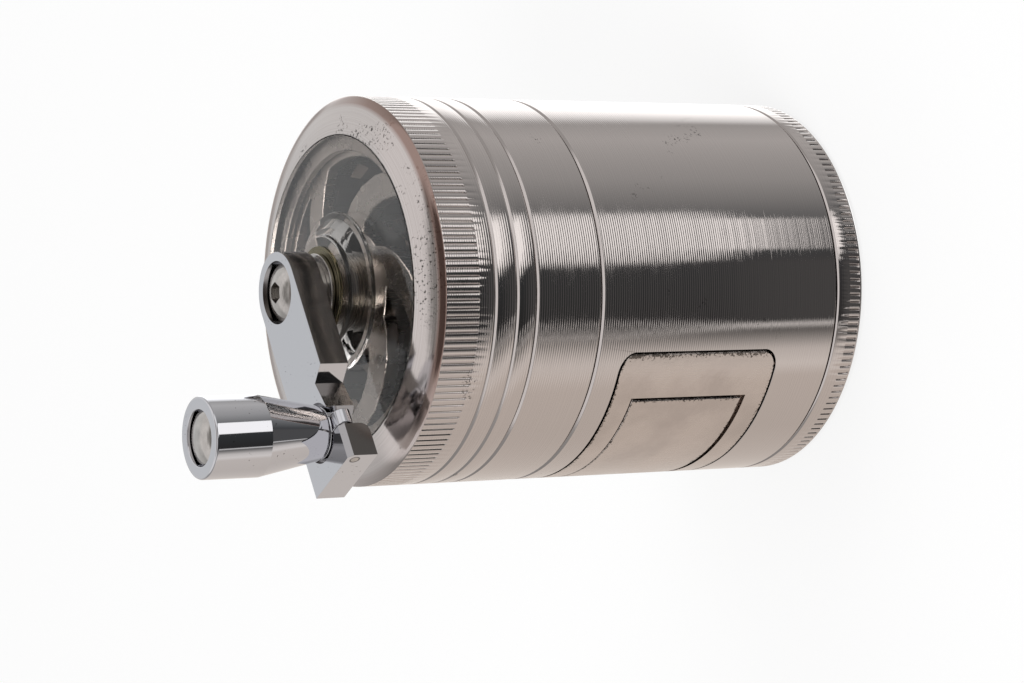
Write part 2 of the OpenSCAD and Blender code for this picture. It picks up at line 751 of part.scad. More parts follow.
base_cap();
drawer_housing();
drawer_tray();
drawer_pull_plate();
sieve_screen();
sieve_frame();
grinding_chamber();
chamber_magnet();
glide_ring();
lid_ring();
lid_window();
window_retainer();
window_bush();
thrust_washer();
hub_spacer();
crank_spindle();
crank_arm();
crank_screw();
fold_pin();
rotor();
rotor_magnet();
rotor_washer();
rotor_screw();
fold_block();
knob_axle();
knob();
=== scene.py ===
import math

import bpy
import numpy as np
from mathutils import Matrix, Vector


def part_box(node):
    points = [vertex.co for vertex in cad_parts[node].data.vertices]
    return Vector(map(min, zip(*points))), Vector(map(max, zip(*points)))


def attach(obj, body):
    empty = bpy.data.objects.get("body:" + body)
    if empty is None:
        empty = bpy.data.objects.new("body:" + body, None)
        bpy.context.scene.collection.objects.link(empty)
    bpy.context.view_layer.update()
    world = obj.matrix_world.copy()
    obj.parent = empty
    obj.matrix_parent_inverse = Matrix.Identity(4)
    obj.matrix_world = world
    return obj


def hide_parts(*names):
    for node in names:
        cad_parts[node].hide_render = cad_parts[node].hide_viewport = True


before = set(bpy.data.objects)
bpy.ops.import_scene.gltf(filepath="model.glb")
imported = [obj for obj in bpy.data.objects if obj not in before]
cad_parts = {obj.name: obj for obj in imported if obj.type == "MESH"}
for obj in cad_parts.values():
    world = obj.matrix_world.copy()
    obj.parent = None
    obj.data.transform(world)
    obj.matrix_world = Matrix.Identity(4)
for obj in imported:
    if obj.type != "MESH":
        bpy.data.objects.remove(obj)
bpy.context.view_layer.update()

bl_info = {
    "name": "Hand-crank spice grinder",
    "version": (1, 0, 0),
    "blender": (4, 5, 0),
    "location": "3D View > Sidebar > Grinder",
    "description": "Finishes a hand-crank spice grinder in turned nickel, chrome and clear acrylic",
    "category": "Object",
}

MM = 0.001
# Edges over this angle stay crisp, and those of the pieces from the model are bevelled
CRISP = math.radians(35)
# Bevel widths in metres: of small turned pieces, of the screw's head and the fold block, and of
# magnets and rings
FINE_EDGE, HEAD_EDGE, SOFT_EDGE = 0.00012, 0.00015, 0.0002
# Bevel width of the housing and the chamber, as a share of the edge rounding
WALL_EDGE = 1.4
# Radius in mm of the hole through the bush, the washer and the spacer
SPINDLE_BORE = 4.05


# Numbers and colours

def linear(colour):
    """sRGB hex to linear RGB: each channel c goes to ((c + 0.055) / 1.055) to the power 2.4."""
    c = np.array([int(colour[i:i + 2], 16) for i in (1, 3, 5)]) / 255
    return tuple(np.where(c <= 0.04045, c / 12.92, ((c + 0.055) / 1.055) ** 2.4).tolist())


def length(name, words, metres):
    return bpy.props.FloatProperty(
        name=name, description=words, default=metres, min=0, max=0.2, unit="LENGTH", precision=5)


def paint(name, words, colour):
    return bpy.props.FloatVectorProperty(
        name=name, description=words, default=linear(colour), size=3, min=0, max=1,
        subtype="COLOR")


class GrinderSizes(bpy.types.PropertyGroup):
    """Sizes of the turned pieces, taken from the model where it holds them."""
    drum_radius: length("Drum radius", "Outside radius of the drum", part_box("drawer_housing")[1].x)
    housing_low: length(
        "Housing low", "Lower edge of the drawer housing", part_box("drawer_housing")[0].z)
    lid_low: length("Lid low", "Lower edge of the lid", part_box("lid_ring")[0].z)
    lid_top: length("Lid top", "Inner edge of the lid's sloping rim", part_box("lid_ring")[1].z)
    seam_gap: length("Seam gap", "Gap at each seam of the drum", 0.00012)
    seam_chamfer: length("Seam chamfer", "Chamfer on both sides of a seam", 0.00025)
    edge_round: length("Edge rounding", "Rounding of a turned edge", 0.00010)
    cast_round: length("Cast edge rounding", "Rounding of an edge on the cast pieces", 0.00018)
    knurl_count: bpy.props.IntProperty(
        name="Knurl grooves", description="Grooves round the lid and the base", default=160,
        min=20, max=400)
    knurl_width: length("Knurl groove width", "Width of one groove", 0.0004)
    knurl_depth: length("Knurl groove depth", "Depth of one groove", 0.00024)
    rim_slope: bpy.props.FloatProperty(
        name="Rim slope", description="Slope of the lid's rim", default=math.radians(17.5),
        min=0, max=0.6, subtype="ANGLE")
    crown_radius: length("Crown radius", "Radius of the crown that ends the rim", 0.007)
    crown_width: length("Crown width", "Radial width of that crown", 0.00205)
    line_pitch: length("Turning line pitch", "Spacing of the lathe's lines on the drum", 0.00042)
    line_low: length("Turning line low end", "Height where the lines start to show", 0.020)
    line_high: length("Turning line high end", "Height above which they show in full", 0.048)


class GrinderFinish(bpy.types.PropertyGroup):
    """Colours of the finishes."""
    nickel: paint("Nickel", "Turned and nickel-plated drum", "#CCC5C2")
    satin: paint("Satin nickel", "Drawer and its pull plate", "#CFC5BF")
    chrome: paint("Chrome", "Crank, knob and fold block", "#D2D2D6")
    steel: paint("Steel", "Screws, washers and shafts", "#C4C0BC")
    brass: paint("Brass", "Bush in the window", "#77705A")
    zinc: paint("Zinc", "Rotor and inner castings", "#BCB4AF")
    acrylic: paint("Acrylic", "Clear window", "#FAF7F4")
    nylon: paint("Nylon", "Glide ring", "#EDEBE4")


# Surfaces

def rounded(points, radii, steps=4):
    """Closed outline with rounded corners. A corner P between tangent points A and B becomes the
    parabola A (1 - t)^2 + 2 P t (1 - t) + B t^2, with A and B at radius / tan(half the corner)
    from P."""
    points = np.array(points, float)
    radii = np.broadcast_to(np.array(radii, float), len(points))
    last, after = np.roll(points, 1, 0) - points, np.roll(points, -1, 0) - points
    reach = np.minimum(np.linalg.norm(last, axis=1), np.linalg.norm(after, axis=1))
    last /= np.linalg.norm(last, axis=1, keepdims=True)
    after /= np.linalg.norm(after, axis=1, keepdims=True)
    half = np.arccos(np.clip((last * after).sum(1), -1, 1)) / 2
    # A rounding takes less than half of the shorter side
    cut = np.minimum(radii / np.tan(half), 0.49 * reach)[:, None]
    t = np.linspace(0, 1, steps + 1)[None, :, None]
    start, end = (points + last * cut)[:, None], (points + after * cut)[:, None]
    curve = start * (1 - t) ** 2 + 2 * points[:, None] * t * (1 - t) + end * t ** 2
    curve = curve.reshape(-1, 2)
    return curve[np.linalg.norm(curve - np.roll(curve, 1, 0), axis=1) > 1e-5]


def surface(name, points, faces):
    """Mesh piece from points in millimetres and faces of three or four corners. Points that
    coincide become one, so the poles and seams close."""
    _, first, which = np.unique(np.round(points, 4), axis=0, return_index=True, return_inverse=True)
    faces = which.reshape(-1)[faces]
    kept = faces != np.roll(faces, 1, 1)
    count = kept.sum(1)
    faces, kept, count = faces[count > 2], kept[count > 2], count[count > 2]
    mesh = bpy.data.meshes.new(name)
    mesh.vertices.add(len(first))
    mesh.vertices.foreach_set("co", (points[first] * MM).ravel())
    mesh.loops.add(int(count.sum()))
    mesh.loops.foreach_set("vertex_index", faces[kept].astype(np.int32))
    mesh.polygons.add(len(count))
    mesh.polygons.foreach_set("loop_start", (np.cumsum(count) - count).astype(np.int32))
    mesh.update(calc_edges=True)
    mesh.validate()
    mesh.shade_smooth()
    mesh.set_sharp_from_angle(angle=CRISP)
    piece = bpy.data.objects.new(name, mesh)
    bpy.context.scene.collection.objects.link(piece)
    return piece


def turned(name, outline, columns=288, centre=(0, 0), turn=None, cut=0):
    """Solid of revolution: point (r, z) of the outline goes to (r cos a, r sin a, z) round the
    centre, with r less the cut at that angle. An outline that starts and ends on the axis closes
    at poles."""
    angle = np.arange(columns) * 2 * np.pi / columns if turn is None else turn
    r = np.maximum(outline[:, :1] - cut, 0) + 0 * angle
    points = np.stack([r * np.cos(angle) + centre[0], r * np.sin(angle) + centre[1],
                       outline[:, 1:] + 0 * angle], -1).reshape(-1, 3)
    rows, ring = len(outline), outline[[0, -1], 0].max() > 1e-6
    i = np.arange(rows if ring else rows - 1)[:, None]
    j = np.arange(len(angle))[None, :]
    beside, above = (j + 1) % len(angle), (i + 1) % rows
    faces = np.stack([i * len(angle) + j, i * len(angle) + beside,
                      above * len(angle) + beside, above * len(angle) + j], -1)
    return surface(name, points, faces.reshape(-1, 4))


def knurl(outline, low, high, sizes):
    """Column angles and cut depths of straight grooves: each groove has worn shoulders, sloping
    walls and a narrow floor, and lies between the two heights on the outermost wall."""
    radius = outline[:, 0].max()
    pitch = 2 * np.pi / sizes.knurl_count
    share = sizes.knurl_width / MM / (pitch * radius)
    across = np.array([0, 0.08, 0.38, 0.5, 0.62, 0.92, 1, 0.5 + 0.5 / share]) * share
    depth = np.array([0, 0.12, 1, 1, 1, 0.12, 0, 0]) * sizes.knurl_depth / MM
    turn = ((np.arange(sizes.knurl_count)[:, None] + across) * pitch).ravel()
    z, slack = outline[:, 1], 1e-4
    within = (z > low - slack) & (z < high + slack) & (outline[:, 0] > radius - slack)
    return {"turn": turn, "cut": within[:, None] * np.tile(depth, sizes.knurl_count)}


def eased(node, width, wall=None):
    """Merged copy of a CAD node with its edges bevelled. Where all corners of a face lie on a
    turned wall of the given radius, their normals are (x, y, 0) / radius, so reflections run
    true."""
    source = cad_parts[node].data
    points = np.empty(len(source.vertices) * 3, np.float32)
    source.vertices.foreach_get("co", points)
    faces = np.empty(len(source.loops), np.int32)
    source.loops.foreach_get("vertex_index", faces)
    points = points.reshape(-1, 3).astype(float) / MM
    piece = surface(node + "_piece", points, faces.reshape(-1, 3))
    bevel = piece.modifiers.new("Edges", "BEVEL")
    bevel.width, bevel.segments = width, 2
    bevel.limit_method, bevel.angle_limit = "ANGLE", CRISP
    piece.modifiers.new("Normals", "WEIGHTED_NORMAL").keep_sharp = True
    if wall:
        seen = piece.evaluated_get(bpy.context.evaluated_depsgraph_get())
        mesh = bpy.data.meshes.new_from_object(seen)
        piece.modifiers.clear()
        piece.data = mesh
        co = np.empty(len(mesh.vertices) * 3, np.float32)
        mesh.vertices.foreach_get("co", co)
        corner = np.empty(len(mesh.loops), np.int32)
        mesh.loops.foreach_get("vertex_index", corner)
        total = np.empty(len(mesh.polygons), np.int32)
        mesh.polygons.foreach_get("loop_total", total)
        normal = np.empty(len(mesh.loops) * 3, np.float32)
        mesh.corner_normals.foreach_get("vector", normal)
        normal = normal.reshape(-1, 3)
        at = co.reshape(-1, 3)[corner]
        owner = np.repeat(np.arange(len(total)), total)
        radius, slack = np.hypot(at[:, 0], at[:, 1]), 4e-6
        off = np.abs(radius - wall) > slack
        whole = np.bincount(owner, off, len(total))[owner] == 0
        normal[whole] = at[whole] * (1, 1, 0) / radius[whole, None]
        mesh.normals_split_custom_set(normal.tolist())
    return piece


def place(piece, body, material, node):
    """Gives a finished piece its material and slot, and puts it on its body for a CAD node."""
    piece.data.materials.clear()
    piece.data.materials.append(material)
    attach(piece, body)
    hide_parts(node)


def repaint(node, material):
    """Gives a CAD node's own slots the material."""
    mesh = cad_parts[node].data
    mesh.materials.clear()
    mesh.materials.append(material)


# Finishes

# Node settings that come more than once
TIMES, PLUS = {"operation": "MULTIPLY"}, {"operation": "ADD"}
TIMES_PLUS = {"operation": "MULTIPLY_ADD"}
DOT, SPAN = {"operation": "DOT_PRODUCT"}, {"operation": "LENGTH"}
ALONG, RGBA = {"noise_dimensions": "1D"}, {"data_type": "RGBA"}


def add(tree, kind, settings=None, **sockets):
    """Adds a shader node. settings are its attributes, and sockets its values or links by name,
    with _ for a space, or i0, i1 ... by number. A node given as a value stands for its first
    output."""
    new = tree.nodes.new("ShaderNode" + kind)
    for key, value in (settings or {}).items():
        setattr(new, key, value)
    for key, value in sockets.items():
        socket = new.inputs[int(key[1:]) if key[1:].isdigit() else key.replace("_", " ")]
        if isinstance(value, bpy.types.Node):
            value = value.outputs[0]
        if isinstance(value, bpy.types.NodeSocket):
            tree.links.new(value, socket)
        else:
            socket.default_value = value
    return new


def started(name):
    """A material with an empty tree, or None with the one that is there already."""
    if name in bpy.data.materials:
        return bpy.data.materials[name], None
    material = bpy.data.materials.new(name)
    material.use_nodes = True
    material.node_tree.nodes.clear()
    return material, material.node_tree


def lathe_path(tree, centre=(0, 0)):
    """Distance along a turned surface, radius plus height in metres: lines of equal value are the
    lathe's rings, on walls and flats alike. Gives that distance, the place and the radius."""
    where = add(tree, "Mapping", Vector=add(tree, "TexCoord").outputs["Object"],
                Location=(-centre[0] * MM, -centre[1] * MM, 0))
    split = add(tree, "SeparateXYZ", Vector=where)
    flat = add(tree, "CombineXYZ", X=split.outputs[0], Y=split.outputs[1])
    radius = add(tree, "VectorMath", SPAN, i0=flat).outputs["Value"]
    return add(tree, "Math", PLUS, i0=radius, i1=split.outputs[2]), where, radius


def shaded(colour, share=1.0):
    """Colour times a share, with an alpha of 1. The colour is linear RGB or sRGB hex."""
    colour = linear(colour) if isinstance(colour, str) else colour
    return (*(min(c * share, 1) for c in colour), 1)


def turned_nickel(finish, sizes, name="turned_nickel", shade_radius=0.0):
    """Nickel-plated zinc, turned on a lathe: a mirror of even scalloped rings, so that the edges of
    reflections break into a comb. The rings are strong on the lid and the chamber and polished away
    towards the foot and on the rim. Faint handling marks, and dark specks where the plating on the
    rim has worn. Inside the given radius the metal is rougher and painted darker, as shade inside
    the chamber."""
    material, tree = started(name)
    if tree:
        path, where, radius = lathe_path(tree)
        split = add(tree, "SeparateXYZ", Vector=where)
        height = split.outputs[2]
        rim_foot, crown_foot = sizes.lid_top - 0.0024, sizes.lid_top - 0.0017
        rim = add(tree, "MapRange", i0=height, i1=rim_foot, i2=rim_foot + 0.00008)
        # Rings of the tool's feed, one sine wave each. Real ones are finer and wouldn't show, so
        # these are drawn coarser
        turns = add(tree, "Math", TIMES, i0=path, i1=2 * math.pi / sizes.line_pitch)
        rings = add(tree, "Math", {"operation": "SINE"}, i0=turns)
        low_share, rim_share = 0.06, 0.08
        fade = add(tree, "MapRange", i0=height, i1=sizes.line_low, i2=sizes.line_high, i3=low_share)
        rings = add(tree, "Math", TIMES, i0=rings, i1=fade)
        fade = add(tree, "MapRange", i0=rim, i3=1.0, i4=rim_share)
        rings = add(tree, "Math", TIMES, i0=rings, i1=fade)
        # Finer scratches along the rings, about 0.15 mm apart
        count = add(tree, "Math", TIMES, i0=path, i1=6500.0)
        lines = add(tree, "TexNoise", ALONG, W=count, Scale=1.0, Detail=2.0, Roughness=0.7)
        # Bands of a few millimetres where the tool cut a little brighter or duller
        bands = add(tree, "TexNoise", ALONG, W=path, Scale=420.0, Detail=1.0)
        # Handling marks, about 12 mm across
        marks = add(tree, "TexNoise", Vector=where, Scale=85.0, Detail=4.0, Roughness=0.6)
        # Worn specks of 0.2 to 0.5 mm in patches of 8 mm, mostly on the rim's side towards the
        # camera, where the hand holds it
        specks = add(tree, "TexNoise", Vector=where, Scale=1900.0, Detail=4.0, Roughness=0.65)
        patches = add(tree, "TexNoise", Vector=where, Scale=130.0, Detail=2.0)
        side = add(tree, "MapRange", i0=split.outputs[0], i1=0.008, i2=0.020, i3=0.04, i4=0.20)
        rim_front = add(tree, "Math", TIMES, i0=rim, i1=side)
        patches = add(tree, "Math", PLUS, i0=patches, i1=rim_front)
        worn = add(tree, "Math", TIMES,
                   i0=add(tree, "MapRange", i0=specks, i1=0.575, i2=0.61),
                   i1=add(tree, "MapRange", i0=patches, i1=0.67, i2=0.74))
        colour = add(tree, "Mix", RGBA, i0=add(tree, "MapRange", i0=lines, i1=0.3, i2=0.7),
                     i6=shaded(finish.nickel, 0.93), i7=shaded(finish.nickel, 1.04)).outputs[2]
        colour = add(tree, "Mix", RGBA, i0=worn, i6=colour, i7=shaded("#3B3632")).outputs[2]
        # The crown is painted brown on the rim's side towards the camera. The share is 4.2 times
        # what that side gives, so it is nearly whole there
        below = add(tree, "MapRange", i0=height, i1=crown_foot, i2=crown_foot + 0.0003, i3=4.2,
                    i4=0.0)
        crown = add(tree, "Math", TIMES, i0=rim_front, i1=below)
        colour = add(tree, "Mix", RGBA, i0=crown, i6=colour, i7=shaded("#92776D")).outputs[2]
        # Painted shade inside the chamber: within the given radius the colour turns darker, and the
        # metal rougher
        dull = add(tree, "MapRange", i0=radius, i1=shade_radius - 0.0004, i2=shade_radius, i3=1.0, i4=0.0)
        colour = add(tree, "Mix", RGBA, i0=dull, i6=colour, i7=shaded("#6A605A")).outputs[2]
        rough = add(tree, "Math", PLUS,
                    i0=add(tree, "MapRange", i0=marks, i1=0.35, i2=0.7, i3=0.05, i4=0.12),
                    i1=add(tree, "MapRange", i0=bands, i1=0.35, i2=0.65, i4=0.05))
        rough = add(tree, "Math", TIMES_PLUS, i0=dull, i1=0.25, i2=rough)
        # The polish towards the foot is also smoother
        fade = add(tree, "MapRange", i0=height, i1=sizes.line_low, i2=sizes.line_high, i3=0.4)
        rough = add(tree, "Math", TIMES, i0=rough, i1=fade)
        fine = add(tree, "Bump", Height=lines, Strength=0.3, Distance=0.00001)
        bump = add(tree, "Bump", Height=rings, Strength=1.0, Distance=0.000005, Normal=fine)
        shader = add(tree, "BsdfPrincipled", Base_Color=colour, Metallic=1.0, Roughness=rough,
                     Normal=bump)
        add(tree, "OutputMaterial", Surface=shader)
    return material


def edge_distance(tree, where, low, high):
    """Distance in metres to the nearest edge of a front that spans x and z between two corners."""
    split = add(tree, "SeparateXYZ", Vector=where)
    nearest = None
    for axis in (0, 2):
        for corner, sign in ((low[axis], 1), (high[axis], -1)):
            far = add(tree, "Math", TIMES_PLUS, i0=split.outputs[axis], i1=sign,
                      i2=-sign * corner)
            nearest = far if nearest is None else add(
                tree, "Math", {"operation": "MINIMUM"}, i0=nearest, i1=far)
    return nearest


def satin_nickel(name, colour, grain=0.5, rough=(0.16, 0.28), front=None):
    """Nickel-plated zinc as it leaves the mould: a soft sheen with a fine cast grain, some fine
    scratches and cloudy patches. A drawer front has grime, wear and painted shade in specks along
    its edges."""
    material, tree = started(name)
    if tree:
        where = add(tree, "TexCoord").outputs["Object"]
        # Cast grain, its size given in mm
        cast = add(tree, "TexNoise", Vector=where, Scale=1 / (grain * MM), Detail=3.0,
                   Roughness=0.6)
        # Cloudy patches, about 8 mm
        cloud = add(tree, "TexNoise", Vector=where, Scale=120.0, Detail=4.0, Roughness=0.6)
        # Scratches: noise drawn out upright, 0.15 mm wide
        long = add(tree, "Mapping", Vector=where, Scale=(1.0, 1.0, 0.02))
        scratch = add(tree, "TexNoise", Vector=long, Scale=6500.0, Detail=1.0)
        toned = add(tree, "Mix", RGBA, i0=add(tree, "MapRange", i0=cloud, i1=0.35, i2=0.62),
                    i6=shaded(colour, 0.88), i7=shaded(colour, 1.04)).outputs[2]
        if front:
            # Grime and painted shade in specks of 0.3 mm, thickest at an edge and gone at 0.9 mm, in
            # patches of 5 mm
            specks = add(tree, "TexNoise", Vector=where, Scale=2600.0, Detail=4.0, Roughness=0.65)
            patches = add(tree, "TexNoise", Vector=where, Scale=200.0, Detail=2.0)
            reach = add(tree, "MapRange", i0=edge_distance(tree, where, *front), i1=0.0001,
                        i2=0.0010, i3=0.13, i4=-0.16)
            grime_and_shade = add(tree, "Math", PLUS, i0=specks, i1=reach)
            grime_and_shade = add(tree, "Math", TIMES_PLUS, i0=patches, i1=0.4, i2=grime_and_shade)
            grime_and_shade = add(tree, "MapRange", i0=grime_and_shade, i1=0.80, i2=0.87, i4=0.85)
            toned = add(tree, "Mix", RGBA, i0=grime_and_shade, i6=toned, i7=shaded("#3F3831")).outputs[2]
        gloss = add(tree, "Math", PLUS,
                    i0=add(tree, "MapRange", i0=cloud, i1=0.35, i2=0.65, i3=rough[0], i4=rough[1]),
                    i1=add(tree, "MapRange", i0=scratch, i1=0.6, i2=0.75, i4=0.08))
        waves = add(tree, "Bump", Height=cloud, Strength=0.45, Distance=0.0003)
        bump = add(tree, "Bump", Height=cast, Strength=0.3, Distance=0.00002, Normal=waves)
        shader = add(tree, "BsdfPrincipled", Base_Color=toned, Metallic=1.0, Roughness=gloss,
                     Normal=bump)
        add(tree, "OutputMaterial", Surface=shader)
    return material


def polished_chrome(finish, name="polished_chrome", bar=None, pin=None):
    """Chrome plate over a polished casting: a spotless mirror with slow waves from the hand
    polishing and a few dull smudges. The flanks of a bar are painted darker, as shade, and are
    duller, and grime sits in the seam round a pin that ends in the bar's end face."""
    material, tree = started(name)
    if tree:
        coordinates = add(tree, "TexCoord")
        where = coordinates.outputs["Object"]
        # Polishing waves, about 4 mm
        waves = add(tree, "TexNoise", Vector=where, Scale=240.0, Detail=1.0)
        # Smudges, about 6 mm, and pits of 0.3 mm in a few places
        smudge = add(tree, "TexNoise", Vector=where, Scale=160.0, Detail=4.0, Roughness=0.65)
        pits = add(tree, "TexNoise", Vector=where, Scale=2600.0, Detail=1.0)
        pitted = add(tree, "Math", TIMES, i0=add(tree, "MapRange", i0=pits, i1=0.72, i2=0.76),
                     i1=add(tree, "MapRange", i0=smudge, i1=0.5, i2=0.55))
        colour = add(tree, "Mix", RGBA, i0=pitted, i6=shaded(finish.chrome),
                     i7=shaded("#6E6C6A")).outputs[2]
        rough = add(tree, "MapRange", i0=smudge, i1=0.4, i2=0.75, i3=0.03, i4=0.09)
        if bar is not None:
            ahead, across = (*bar, 0.0), (-bar[1], bar[0], 0.0)
            # The flanks across the bar are painted darker, as shade, and made rougher
            shaded_flank = add(tree, "VectorMath", DOT, i0=coordinates.outputs["Normal"], i1=across)
            shaded_flank = add(tree, "Math", {"operation": "ABSOLUTE"}, i0=shaded_flank.outputs["Value"])
            shaded_flank = add(tree, "MapRange", i0=shaded_flank, i1=0.5, i2=0.9)
            colour = add(tree, "Mix", RGBA, i0=shaded_flank, i6=colour, i7=shaded("#76726F")).outputs[2]
            rough = add(tree, "Math", TIMES_PLUS, i0=shaded_flank, i1=0.07, i2=rough)
            # Seam of the pin, 0.7 to 0.9 mm from its axis, in the outer half of its length
            off = add(tree, "VectorMath", {"operation": "SUBTRACT"}, i0=where, i1=pin)
            level = add(tree, "SeparateXYZ", Vector=off).outputs[2]
            outer = add(tree, "VectorMath", DOT, i0=off, i1=ahead).outputs["Value"]
            aside = add(tree, "VectorMath", DOT, i0=off, i1=across).outputs["Value"]
            flat = add(tree, "CombineXYZ", X=aside, Y=level)
            away = add(tree, "VectorMath", SPAN, i0=flat).outputs["Value"]
            seam = add(tree, "Math", TIMES, i1=add(tree, "MapRange", i0=outer, i1=0.0, i2=0.0001),
                       i0=add(tree, "MapRange", i0=away, i1=0.0007, i2=0.00095, i3=1.0, i4=0.0))
            colour = add(tree, "Mix", RGBA, i0=seam, i6=colour, i7=shaded("#2E2A28")).outputs[2]
        bump = add(tree, "Bump", Height=waves, Strength=0.06, Distance=0.00006)
        shader = add(tree, "BsdfPrincipled", Base_Color=colour, Metallic=1.0, Roughness=rough,
                     Normal=bump)
        add(tree, "OutputMaterial", Surface=shader)
    return material


def bright_metal(name, colour, centre=(0, 0), rough=(0.12, 0.24), seated=0.0):
    """Small turned piece of steel or brass: close rings from the tool and a soft shine. Below the
    seated height it is painted dark, as shade where it sits in its hole."""
    material, tree = started(name)
    if tree:
        path, where, _ = lathe_path(tree, centre)
        height = add(tree, "SeparateXYZ", Vector=where).outputs[2]
        # Rings of the tool, 0.22 mm apart, and stains of 2 mm
        count = add(tree, "Math", TIMES, i0=path, i1=1 / (0.22 * MM))
        lines = add(tree, "TexNoise", ALONG, W=count, Scale=1.0, Detail=1.0)
        stain = add(tree, "TexNoise", Vector=where, Scale=500.0, Detail=3.0)
        toned = add(tree, "Mix", RGBA, i0=add(tree, "MapRange", i0=stain, i1=0.35, i2=0.7),
                    i6=shaded(colour, 0.82), i7=shaded(colour, 1.05)).outputs[2]
        # Below the seated height the colour is painted dark, as shade where the piece sits in its
        # hole
        above_shade = add(tree, "MapRange", i0=height, i1=seated - 0.0001, i2=seated)
        toned = add(tree, "Mix", RGBA, i0=above_shade, i6=shaded("#453F38"), i7=toned).outputs[2]
        gloss = add(tree, "MapRange", i0=lines, i1=0.35, i2=0.65, i3=rough[0], i4=rough[1])
        bump = add(tree, "Bump", Height=lines, Strength=0.5, Distance=0.00002)
        shader = add(tree, "BsdfPrincipled", Base_Color=toned, Metallic=1.0, Roughness=gloss,
                     Normal=bump)
        add(tree, "OutputMaterial", Surface=shader)
    return material


def cast_zinc(finish):
    """Cast zinc alloy without a plate: greyer, duller and coarser than the plated fronts."""
    return satin_nickel("cast_zinc", finish.zinc, grain=0.6, rough=(0.22, 0.34))


def magnet_nickel():
    """Nickel-plated magnet: grey and smooth."""
    return satin_nickel("magnet_nickel", "#A9A9AC", grain=0.3, rough=(0.15, 0.25))


def bright_steel(finish):
    """Turned steel of the screws, washers and shafts."""
    return bright_metal("bright_steel", finish.steel)


def clear_acrylic(finish):
    """Moulded acrylic, polished: clear, with the faint rings and hairlines that wiping leaves.
    Light for shadows passes through it, as it does through the real plate."""
    material, tree = started("clear_acrylic")
    if tree:
        path, where, _ = lathe_path(tree)
        # Rings 0.4 mm apart, and hairlines 1.1 mm apart that run slantwise
        rings = add(tree, "TexNoise", ALONG, W=path, Scale=2500.0, Detail=1.0)
        slant = add(tree, "Mapping", Vector=where, Scale=(1.0, 0.06, 1.0), Rotation=(0, 0, 0.6))
        hair = add(tree, "TexNoise", Vector=slant, Scale=900.0, Detail=2.0)
        rough = add(tree, "MapRange", i0=hair, i1=0.6, i2=0.75, i4=0.05)
        bump = add(tree, "Bump", Height=rings, Strength=0.15, Distance=0.00001)
        shader = add(tree, "BsdfPrincipled", Base_Color=shaded(finish.acrylic), Roughness=rough,
                     IOR=1.49, Transmission_Weight=1.0, Normal=bump)
        through = add(tree, "BsdfTransparent", Color=(0.86, 0.87, 0.87, 1))
        shadow = add(tree, "LightPath").outputs["Is Shadow Ray"]
        mixed = add(tree, "MixShader", i0=shadow, i1=shader, i2=through)
        add(tree, "OutputMaterial", Surface=mixed)
    return material


def milky_nylon(finish):
    """Moulded nylon: slightly translucent white with a dull, waxy surface."""
    material, tree = started("milky_nylon")
    if tree:
        where = add(tree, "TexCoord").outputs["Object"]
        # Clouds of 3 mm, and a grain of 0.4 mm
        cloud = add(tree, "TexNoise", Vector=where, Scale=300.0, Detail=3.0)
        grain = add(tree, "TexNoise", Vector=where, Scale=2500.0, Detail=2.0)
        toned = add(tree, "Mix", RGBA, i0=cloud, i6=shaded(finish.nylon, 0.9),
                    i7=shaded(finish.nylon)).outputs[2]
        rough = add(tree, "MapRange", i0=cloud, i1=0.3, i2=0.7, i3=0.4, i4=0.55)
        bump = add(tree, "Bump", Height=grain, Strength=0.3, Distance=0.00002)
        shader = add(tree, "BsdfPrincipled", Base_Color=toned, Roughness=rough, IOR=1.53,
                     Subsurface_Weight=0.1, Subsurface_Scale=0.001, Normal=bump)
        add(tree, "OutputMaterial", Surface=shader)
    return material


# The grinder's pieces

class Piece:
    """What the operators share: they can be undone, and they read the sizes and colours."""
    bl_options = {"REGISTER", "UNDO"}

    @staticmethod
    def settings(context):
        return context.scene.grinder_sizes, context.scene.grinder_finish


class GRINDER_OT_base_cap(Piece, bpy.types.Operator):
    """Turns the base cap, with its knurled foot and its neck"""
    bl_idname = "grinder.base_cap"
    bl_label = "Base cap"

    def execute(self, context):
        sizes, finish = self.settings(context)
        r, top = sizes.drum_radius / MM, (sizes.housing_low - sizes.seam_gap) / MM
        chamfer, edge = sizes.seam_chamfer / MM, sizes.edge_round / MM
        foot, knurl_low, knurl_high, run_out = 0.8, 1.05, 2.95, 0.1
        neck, bore, rim, floor = 28.9, 27.0, top + 4.32, 1.8
        outline = rounded(
            [(0, 0), (r - foot, 0), (r, foot), (r, knurl_low - run_out), (r, knurl_low),
             (r, knurl_high), (r, knurl_high + run_out), (r, top - chamfer), (r - chamfer, top),
             (neck, top), (neck, rim), (bore, rim), (bore, floor), (0, floor)],
            [0, 0.2, 0.2, 0, 0, 0, 0, edge, edge, 0, 0.2, 0.2, 0.6, 0])
        cap = turned("base_cap_piece", outline, **knurl(outline, knurl_low, knurl_high, sizes))
        place(cap, "base", turned_nickel(finish, sizes), "base_cap")
        return {"FINISHED"}


class GRINDER_OT_housing(Piece, bpy.types.Operator):
    """Finishes the drawer housing from the model, with true turned walls and eased window edges"""
    bl_idname = "grinder.housing"
    bl_label = "Drawer housing"

    def execute(self, context):
        sizes, finish = self.settings(context)
        shell = eased("drawer_housing", sizes.edge_round * WALL_EDGE, sizes.drum_radius)
        place(shell, "housing", turned_nickel(finish, sizes), "drawer_housing")
        return {"FINISHED"}


